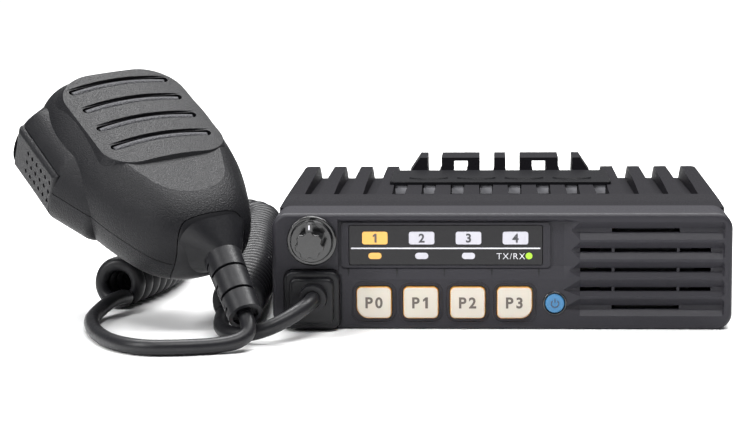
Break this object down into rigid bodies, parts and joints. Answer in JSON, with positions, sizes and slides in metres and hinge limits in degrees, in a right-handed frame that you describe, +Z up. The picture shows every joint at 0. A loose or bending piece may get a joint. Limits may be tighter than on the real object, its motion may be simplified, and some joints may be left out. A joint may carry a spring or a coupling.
{
  "type": "mobile transceiver",
  "caption": "Compact mobile radio transceiver with finned cast body, display, keys, volume knob and speaker grille, and a plug-in hand microphone on a curly cord.",
  "frame": {"origin": "centre of the radio's width and depth on its underside", "axes": "+X to the right of a person facing the front panel, +Y to the rear of the radio, +Z up"},
  "size_m": [0.2411, 0.241, 0.0822],
  "materials": {
    "panel_plastic": "fine matt texture",
    "cast_metal": "sand-textured black coat",
    "cover_sheet": "satin black coat",
    "smoked_window": "clear, smoked",
    "lamp_plastic": "translucent",
    "status_lamp_plastic": "translucent",
    "key_plastic": "translucent with a printed legend",
    "power_key_plastic": "satin",
    "silicone": "matt",
    "knob_plastic": "polished",
    "component_black": "moulded",
    "board_laminate": "solder mask",
    "tinned_steel": "tinned",
    "screw_steel": "black oxide",
    "contact_brass": "gold flash",
    "nickel": "satin nickel",
    "felt": "felt",
    "cone_paper": "pulp",
    "gap_pad": "matt",
    "foam": "closed-cell foam",
    "mic_plastic": "fine grain",
    "mic_rubber": "smooth satin",
    "cord_jacket": "smooth satin",
    "plug_plastic": "clear",
    "speaker_steel": "plated"
  },
  "bodies": {
    "radio": {"chassis": "cast_metal", "deck_plate": "cast_metal", "gap_pads": "gap_pad", "bottom_cover": "cover_sheet", "cover_screws": "screw_steel", "front_panel": "panel_plastic", "panel_gasket": "foam", "display_window": "smoked_window", "channel_lamps": "lamp_plastic", "status_lamps": "status_lamp_plastic", "key_mat": "silicone", "key_switches": "component_black", "channel_leds": "lamp_plastic", "front_board": "board_laminate", "volume_control": "component_black", "speaker_felt": "felt", "speaker_frame": "speaker_steel", "speaker_cone": "cone_paper", "mic_jack": "component_black", "main_board": "board_laminate", "board_screws": "screw_steel", "power_module": "component_black", "thermal_pad": "gap_pad", "shield_can": "tinned_steel", "ribbon_cable": "silicone", "antenna_socket": "nickel", "antenna_contact": "contact_brass", "dc_socket": "component_black", "dc_pins": "contact_brass", "speaker_jack": "nickel"},
    "volume_knob": {"volume_knob": "knob_plastic", "volume_shaft": "component_black"},
    "key_p0": {"key_p0": "key_plastic"},
    "key_p1": {"key_p1": "key_plastic"},
    "key_p2": {"key_p2": "key_plastic"},
    "key_p3": {"key_p3": "key_plastic"},
    "power_key": {"power_key": "power_key_plastic"},
    "microphone": {"mic_plug": "plug_plastic", "plug_contacts": "contact_brass", "plug_boot": "mic_rubber", "cord_plug_tail": "cord_jacket", "cord_coil": "cord_jacket", "cord_mic_tail": "cord_jacket", "mic_boot": "mic_rubber", "mic_front_shell": "mic_plastic", "mic_rear_shell": "mic_plastic", "mic_screws": "screw_steel", "hanger_button": "nickel", "mic_screen": "felt", "mic_capsule": "tinned_steel", "capsule_holder": "mic_rubber", "mic_board": "board_laminate", "ptt_switch": "component_black"},
    "ptt_button": {"ptt_button": "mic_plastic"}
  },
  "joints": [
    {"name": "volume_turn", "type": "hinge", "parent": "radio", "child": "volume_knob", "pos_m": [-0.0617, -0.06, 0.0296], "axis": [0, 1, 0], "range_deg": [-140, 140]},
    {"name": "key_p0_press", "type": "slide", "parent": "radio", "child": "key_p0", "axis": [0, 1, 0], "range_m": [0, 0.0008], "stiffness_N_per_m": 800, "springref_m": -0.0006},
    {"name": "key_p1_press", "type": "slide", "parent": "radio", "child": "key_p1", "axis": [0, 1, 0], "range_m": [0, 0.0008], "stiffness_N_per_m": 800, "springref_m": -0.0006},
    {"name": "key_p2_press", "type": "slide", "parent": "radio", "child": "key_p2", "axis": [0, 1, 0], "range_m": [0, 0.0008], "stiffness_N_per_m": 800, "springref_m": -0.0006},
    {"name": "key_p3_press", "type": "slide", "parent": "radio", "child": "key_p3", "axis": [0, 1, 0], "range_m": [0, 0.0008], "stiffness_N_per_m": 800, "springref_m": -0.0006},
    {"name": "power_key_press", "type": "slide", "parent": "radio", "child": "power_key", "axis": [0, 1, 0], "range_m": [0, 0.0008], "stiffness_N_per_m": 800, "springref_m": -0.0006},
    {"name": "plug_pull", "type": "slide", "parent": "radio", "child": "microphone", "axis": [0, -1, 0], "range_m": [0, 0.03]},
    {"name": "ptt_press", "type": "hinge", "parent": "microphone", "child": "ptt_button", "pos_m": [-0.16022, -0.02848, 0.05781], "axis": [0.239, -0.439, 0.8661], "range_deg": [0, 3], "stiffness_Nm_per_rad": 1.2, "springref_deg": -1.72}
  ]
}
